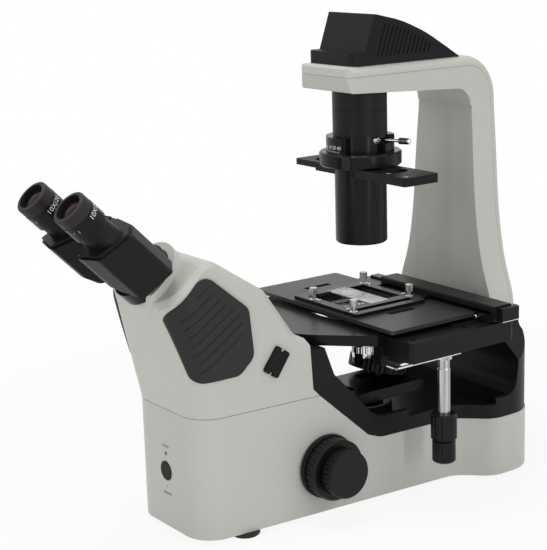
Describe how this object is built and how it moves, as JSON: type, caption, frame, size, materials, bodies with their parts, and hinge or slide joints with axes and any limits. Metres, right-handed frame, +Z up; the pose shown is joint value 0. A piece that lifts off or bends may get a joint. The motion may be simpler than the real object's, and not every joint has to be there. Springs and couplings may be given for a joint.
{
  "type": "inverted microscope",
  "caption": "Inverted microscope with tall lamp arm, long condenser above an open stage, focusing turret below it and inclined binocular head.",
  "frame": {"origin": "on the bench, in the plane of the feet's faces, straight below the common optical axis of condenser and objective", "axes": "+Z up along the optical axis, +Y away from the user, +X to the user's right"},
  "size_m": [0.2658, 0.5371, 0.4971],
  "materials": {
    "housing": "fine satin texture, warm light grey",
    "casting": "painted warm light grey, satin",
    "pad": "soft black rubber",
    "black_plastic": "matte black",
    "black_casting": "black paint, fine texture",
    "anodised": "black anodised, satin",
    "knob": "black, slightly glossy",
    "white_metal": "white lacquer",
    "chrome": "bright plated",
    "steel": "plain turned steel",
    "nickel": "nickel plated",
    "rubber": "black rubber",
    "glass": "clear polished",
    "board": "green laminate",
    "lamp": "clear green lens",
    "led": "bare aluminium"
  },
  "bodies": {
    "stand": {"lower_housing": "housing", "bottom_plate": "steel", "feet": "rubber", "front_housing": "housing", "side_pads": "pad", "side_plug": "black_plastic", "stage_frame": "black_casting", "stage_deck": "anodised", "stage_insert": "white_metal", "arm_casting": "casting", "arm_cover": "housing", "lamp_housing": "black_plastic", "led_module": "led", "fixed_lenses": "glass", "condenser_mount": "black_casting", "condenser_collar": "anodised", "condenser_tube": "anodised", "drive_unit": "black_casting", "drive_rail": "steel", "case_screws": "steel", "tension_ring": "black_plastic", "focus_bushes": "steel", "focus_guide": "steel", "fold_mirror": "anodised", "relay_tube": "anodised", "electronics": "board", "power_inlet": "black_plastic", "power_led": "lamp", "head_mount": "anodised"},
    "power_button": {"power_button": "black_plastic"},
    "coarse_drive": {"coarse_knobs": "knob", "coarse_sleeve": "steel"},
    "fine_drive": {"fine_knobs": "knob", "fine_shaft": "steel"},
    "nosepiece": {"nosepiece_carriage": "anodised"},
    "turret": {"turret": "anodised", "objective_20x": "chrome", "objective_4x": "chrome", "objective_10x": "chrome", "objective_40x": "chrome"},
    "stage_y": {"stage_plate": "anodised", "x_rail": "black_casting"},
    "stage_x": {"slide_bar": "steel", "slide_holder": "anodised", "glass_slide": "glass", "holder_screws": "nickel"},
    "y_knob": {"y_knob": "knob", "y_sleeve": "chrome"},
    "x_knob": {"x_knob": "knob"},
    "phase_slider": {"phase_slider": "black_plastic"},
    "iris_lever": {"iris_lever": "anodised"},
    "head_left": {"head_left": "black_casting"},
    "head_right": {"head_right": "black_casting"},
    "ocular_left": {"eyepiece_left": "anodised", "eyecup_left": "rubber", "eye_lens_left": "glass"},
    "ocular_right": {"eyepiece_right": "anodised", "eyecup_right": "rubber", "eye_lens_right": "glass"}
  },
  "joints": [
    {"name": "power_press", "type": "slide", "parent": "stand", "child": "power_button", "axis": [0, 1, 0], "range_m": [0, 0.003], "stiffness_N_per_m": 400, "springref_m": -0.0005},
    {"name": "coarse_turn", "type": "hinge", "parent": "stand", "child": "coarse_drive", "pos_m": [0, -0.106, 0.054], "axis": [1, 0, 0], "range_deg": [-48, 19.2]},
    {"name": "nosepiece_lift", "type": "slide", "parent": "stand", "child": "nosepiece", "axis": [0, 0, 1], "range_m": [-0.005, 0.002]},
    {"name": "fine_turn", "type": "hinge", "parent": "stand", "child": "fine_drive", "pos_m": [0, -0.106, 0.054], "axis": [1, 0, 0], "continuous": true},
    {"name": "turret_turn", "type": "hinge", "parent": "nosepiece", "child": "turret", "pos_m": [0, 0.02329, 0.12719], "axis": [0, 0.2419, 0.9703], "continuous": true},
    {"name": "y_drive_turn", "type": "hinge", "parent": "stand", "child": "y_knob", "pos_m": [0.126, 0.002, 0.087], "axis": [0, 0, 1], "range_deg": [-160, 160]},
    {"name": "stage_y_slide", "type": "slide", "parent": "stand", "child": "stage_y", "axis": [0, 1, 0], "range_m": [-0.025, 0.025]},
    {"name": "x_drive_turn", "type": "hinge", "parent": "stand", "child": "x_knob", "pos_m": [0.126, 0.002, 0.061], "axis": [0, 0, 1], "range_deg": [-172, 172]},
    {"name": "stage_x_slide", "type": "slide", "parent": "stage_y", "child": "stage_x", "axis": [1, 0, 0], "range_m": [-0.036, 0.036]},
    {"name": "phase_slide", "type": "slide", "parent": "stand", "child": "phase_slider", "axis": [1, 0, 0], "range_m": [-0.054, 0.054]},
    {"name": "iris_turn", "type": "hinge", "parent": "stand", "child": "iris_lever", "pos_m": [0, 0, 0.368], "axis": [0, 0, 1], "range_deg": [-25, 25]},
    {"name": "head_fold_left", "type": "hinge", "parent": "stand", "child": "head_left", "pos_m": [0, -0.28563, 0.28495], "axis": [0, -0.7071, 0.7071], "range_deg": [-12.4, 33]},
    {"name": "head_fold_right", "type": "hinge", "parent": "stand", "child": "head_right", "pos_m": [0, -0.28563, 0.28495], "axis": [0, -0.7071, 0.7071], "range_deg": [-33, 12.4]},
    {"name": "ocular_turn_left", "type": "hinge", "parent": "head_left", "child": "ocular_left", "pos_m": [-0.0362, -0.34786, 0.33586], "axis": [0, -0.7071, 0.7071], "range_deg": [-150, 150]},
    {"name": "ocular_turn_right", "type": "hinge", "parent": "head_right", "child": "ocular_right", "pos_m": [0.0362, -0.34786, 0.33586], "axis": [0, -0.7071, 0.7071], "range_deg": [-150, 150]}
  ],
  "couplings": [
    {"joint": "coarse_turn", "follows": "nosepiece_lift", "rad_per_m": 166.67},
    {"joint": "y_drive_turn", "follows": "stage_y_slide", "rad_per_m": 111.11},
    {"joint": "x_drive_turn", "follows": "stage_x_slide", "rad_per_m": 83.333},
    {"joint": "head_fold_right", "follows": "head_fold_left", "ratio": -1}
  ]
}
